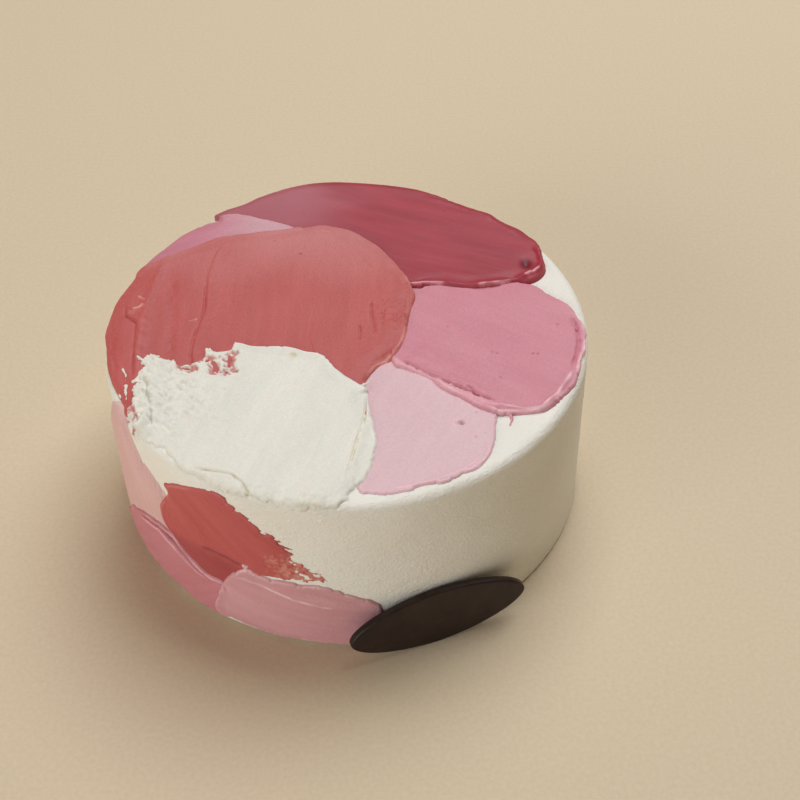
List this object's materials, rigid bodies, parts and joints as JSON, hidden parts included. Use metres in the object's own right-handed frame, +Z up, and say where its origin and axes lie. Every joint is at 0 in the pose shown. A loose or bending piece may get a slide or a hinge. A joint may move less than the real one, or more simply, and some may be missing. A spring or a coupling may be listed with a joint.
{
  "type": "mini cake",
  "caption": "Low round mini cake in smooth cream, with overlapping palette-knife smears of tinted buttercream on top and side and an oval chocolate plaque at its foot.",
  "frame": {"origin": "middle of the flat base, on the surface that the cake stands on", "axes": "+Z up; -Y is the front, where the plaque and the side smears are seen from; +X to the right of that view"},
  "size_m": [0.122, 0.1275, 0.0533],
  "materials": {
    "cream": "smooth whipped cream, matte, with fine pits and scraper marks",
    "white_buttercream": "rough, crumbly knife-laid buttercream, matte",
    "coral_buttercream": "knife-smoothed buttercream, satin",
    "dark_rose_buttercream": "knife-smoothed buttercream, glossier than the others",
    "rose_pink_buttercream": "knife-smoothed buttercream, satin",
    "dusty_pink_buttercream": "knife-smoothed buttercream, satin",
    "light_pink_buttercream": "knife-smoothed buttercream, matte",
    "brick_buttercream": "thin knife-smoothed buttercream with a brushed-out edge",
    "mauve_pink_buttercream": "knife-smoothed buttercream, satin",
    "chocolate": "moulded dark chocolate, low gloss"
  },
  "bodies": {
    "root": {"cream_cake": "cream", "top_smear_light_pink": "light_pink_buttercream", "top_smear_rose_pink": "rose_pink_buttercream", "top_smear_dark_rose": "dark_rose_buttercream", "top_smear_dusty_pink": "dusty_pink_buttercream", "top_smear_coral": "coral_buttercream", "top_smear_white_cream": "white_buttercream", "side_smear_light_pink": "light_pink_buttercream", "side_smear_brick": "brick_buttercream", "side_smear_mauve_pink": "mauve_pink_buttercream", "side_smear_low_pink": "mauve_pink_buttercream", "chocolate_plaque": "chocolate"}
  },
  "joints": []
}
